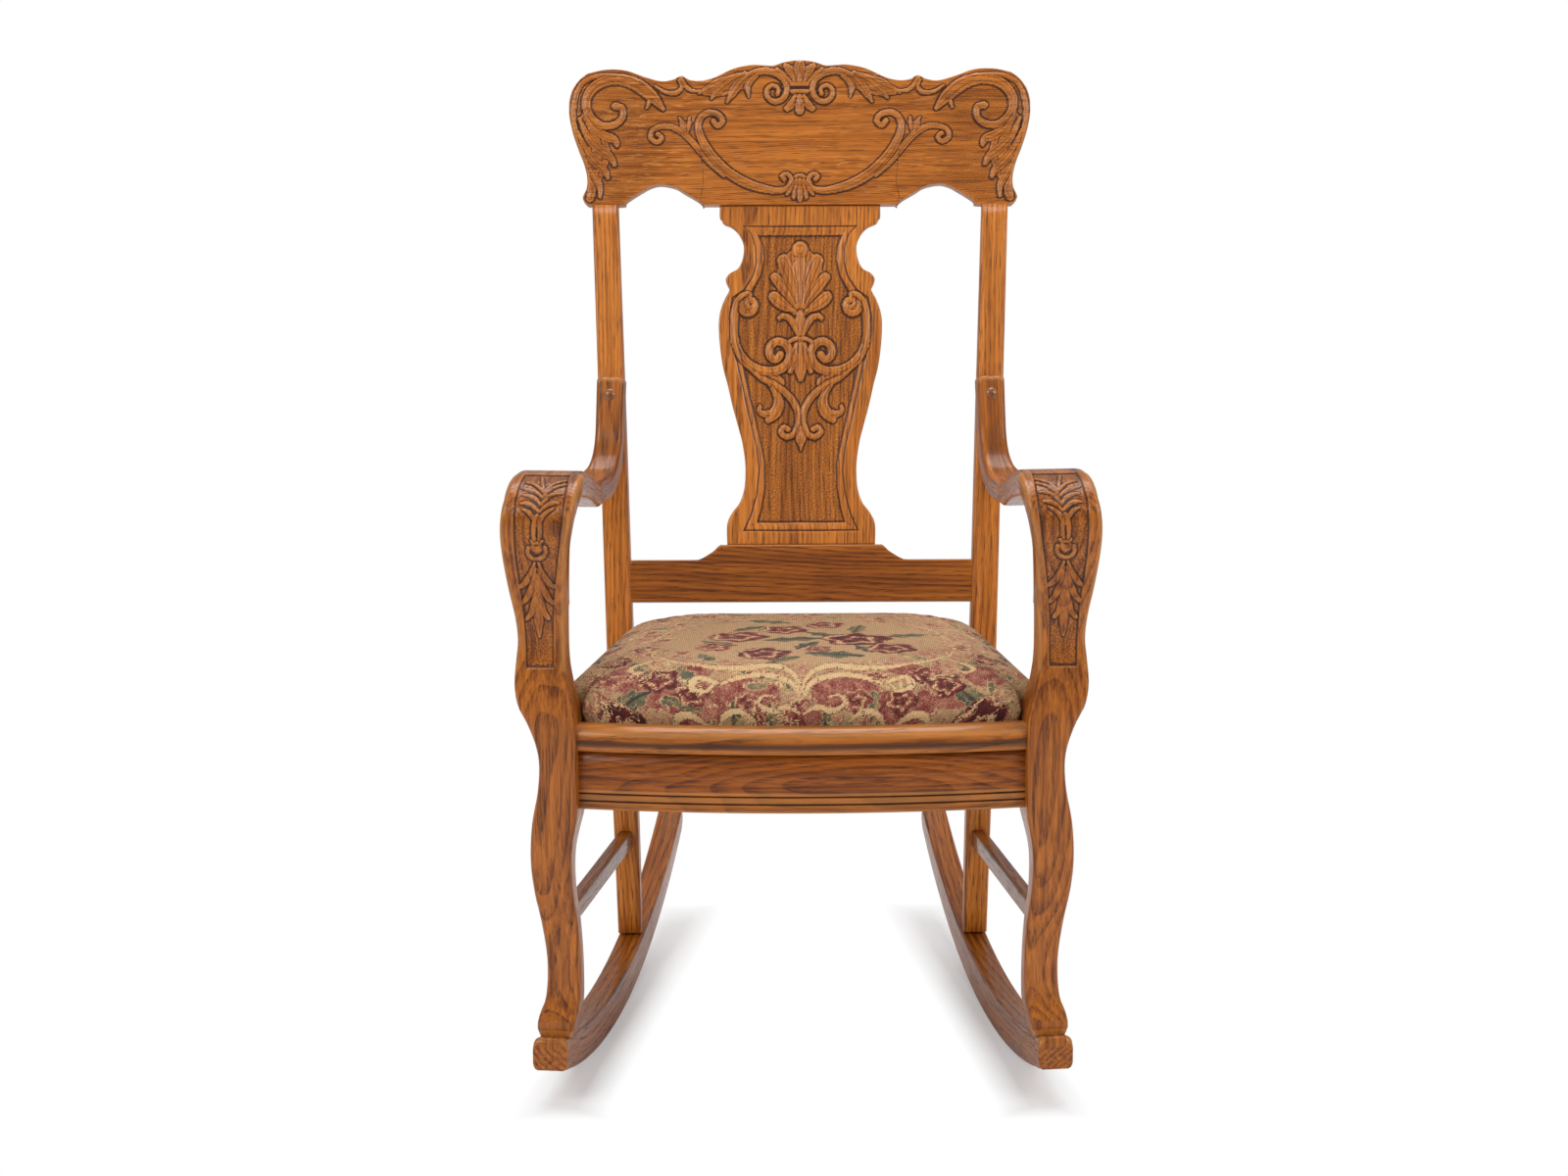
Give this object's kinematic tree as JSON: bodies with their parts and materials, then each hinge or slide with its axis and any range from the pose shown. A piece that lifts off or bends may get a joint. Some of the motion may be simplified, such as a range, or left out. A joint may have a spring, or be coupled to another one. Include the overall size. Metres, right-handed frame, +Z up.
{
  "type": "rocking chair",
  "caption": "Oak rocking chair on curved runners, with bent arms, a carved crest and splat, and a tapestry slip seat with a crowned cushion.",
  "frame": {"origin": "on the floor, under the middle of the chair's width and depth", "axes": "+Z up, the chair faces -Y, +X to the right of someone who looks along +Y at its front"},
  "size_m": [0.6382, 0.7697, 1.1298],
  "materials": {
    "oak": "varnished golden brown oak, glossy",
    "oak_plug": "varnished oak, end grain",
    "inner_wood": "bare wood, matt",
    "screw_steel": "dull steel",
    "tack_steel": "blued steel",
    "jute": "woven jute webbing",
    "burlap": "coarse woven cloth",
    "padding": "cotton and hair padding",
    "tapestry": "ribbed floral tapestry weave",
    "cambric": "thin black cloth"
  },
  "bodies": {
    "root": {"left_runner": "oak", "right_runner": "oak", "left_arm_and_leg": "oak", "right_arm_and_leg": "oak", "left_back_post": "oak", "right_back_post": "oak", "crest_rail": "oak", "splat": "oak", "lower_back_rail": "oak", "front_apron": "oak", "front_seat_cap": "oak", "left_seat_rail": "oak", "right_seat_rail": "oak", "left_seat_cap": "oak", "right_seat_cap": "oak", "rear_seat_rail": "oak", "left_stretcher": "oak", "right_stretcher": "oak", "front_left_block": "inner_wood", "front_right_block": "inner_wood", "rear_left_block": "inner_wood", "rear_right_block": "inner_wood", "arm_screws": "screw_steel", "left_arm_plug": "oak_plug", "right_arm_plug": "oak_plug", "runner_screws": "screw_steel", "block_screws": "screw_steel", "seat_screws": "screw_steel", "crest_dowels": "inner_wood", "lower_rail_dowels": "inner_wood", "seat_rail_dowels": "inner_wood", "stretcher_dowels": "inner_wood", "slip_frame_front": "inner_wood", "slip_frame_rear": "inner_wood", "slip_frame_left": "inner_wood", "slip_frame_right": "inner_wood", "slip_frame_dowels": "inner_wood", "webbing_lengthways": "jute", "webbing_crossways": "jute", "burlap": "burlap", "seat_padding": "padding", "seat_cover": "tapestry", "cover_tacks": "tack_steel", "webbing_tacks": "tack_steel", "dust_cover": "cambric"}
  },
  "joints": []
}
